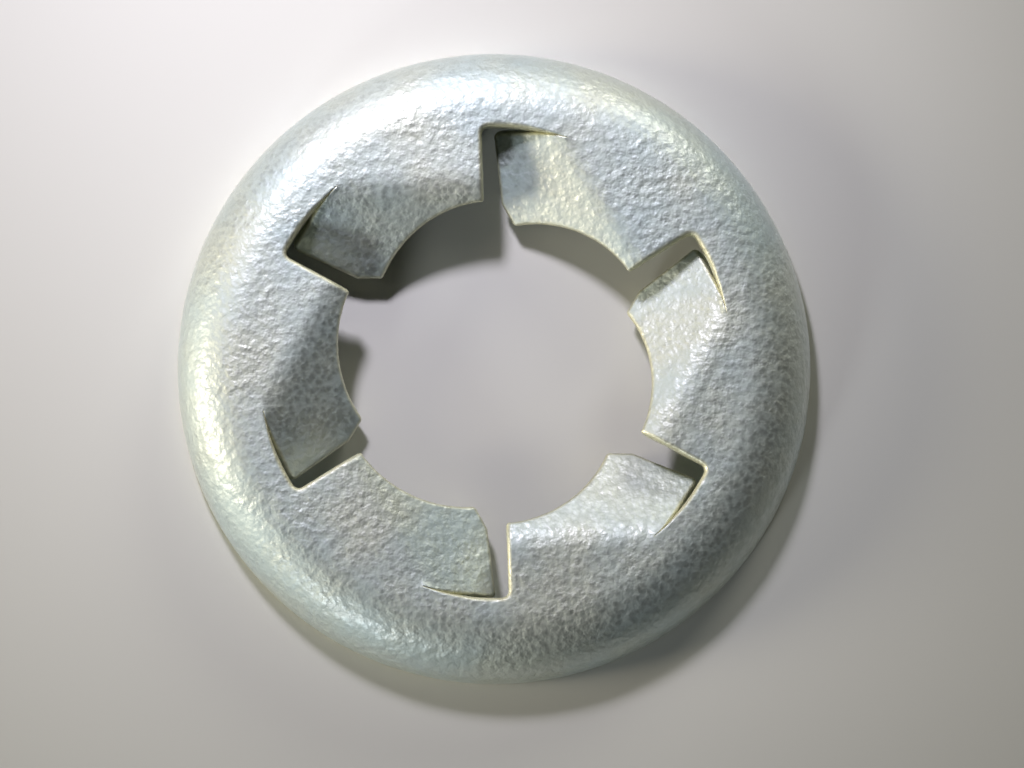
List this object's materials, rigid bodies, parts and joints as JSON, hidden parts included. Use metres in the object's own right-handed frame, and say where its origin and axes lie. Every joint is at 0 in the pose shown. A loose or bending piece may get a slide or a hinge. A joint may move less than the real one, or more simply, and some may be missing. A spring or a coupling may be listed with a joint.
{
  "type": "push-on retaining washer",
  "caption": "Domed spring steel washer with a turned-down rim and slotted, folded tongues whose corners bite a plain shaft when it is pushed on.",
  "frame": {"origin": "on the shaft's axis, in the plane of the rim's bottom edge", "axes": "+Z along the shaft's axis towards the domed face, +Y along the middle of one slot"},
  "size_m": [0.018, 0.018, 0.0021],
  "materials": {
    "zinc_plate": "satin"
  },
  "bodies": {
    "root": {"washer": "zinc_plate"}
  },
  "joints": []
}
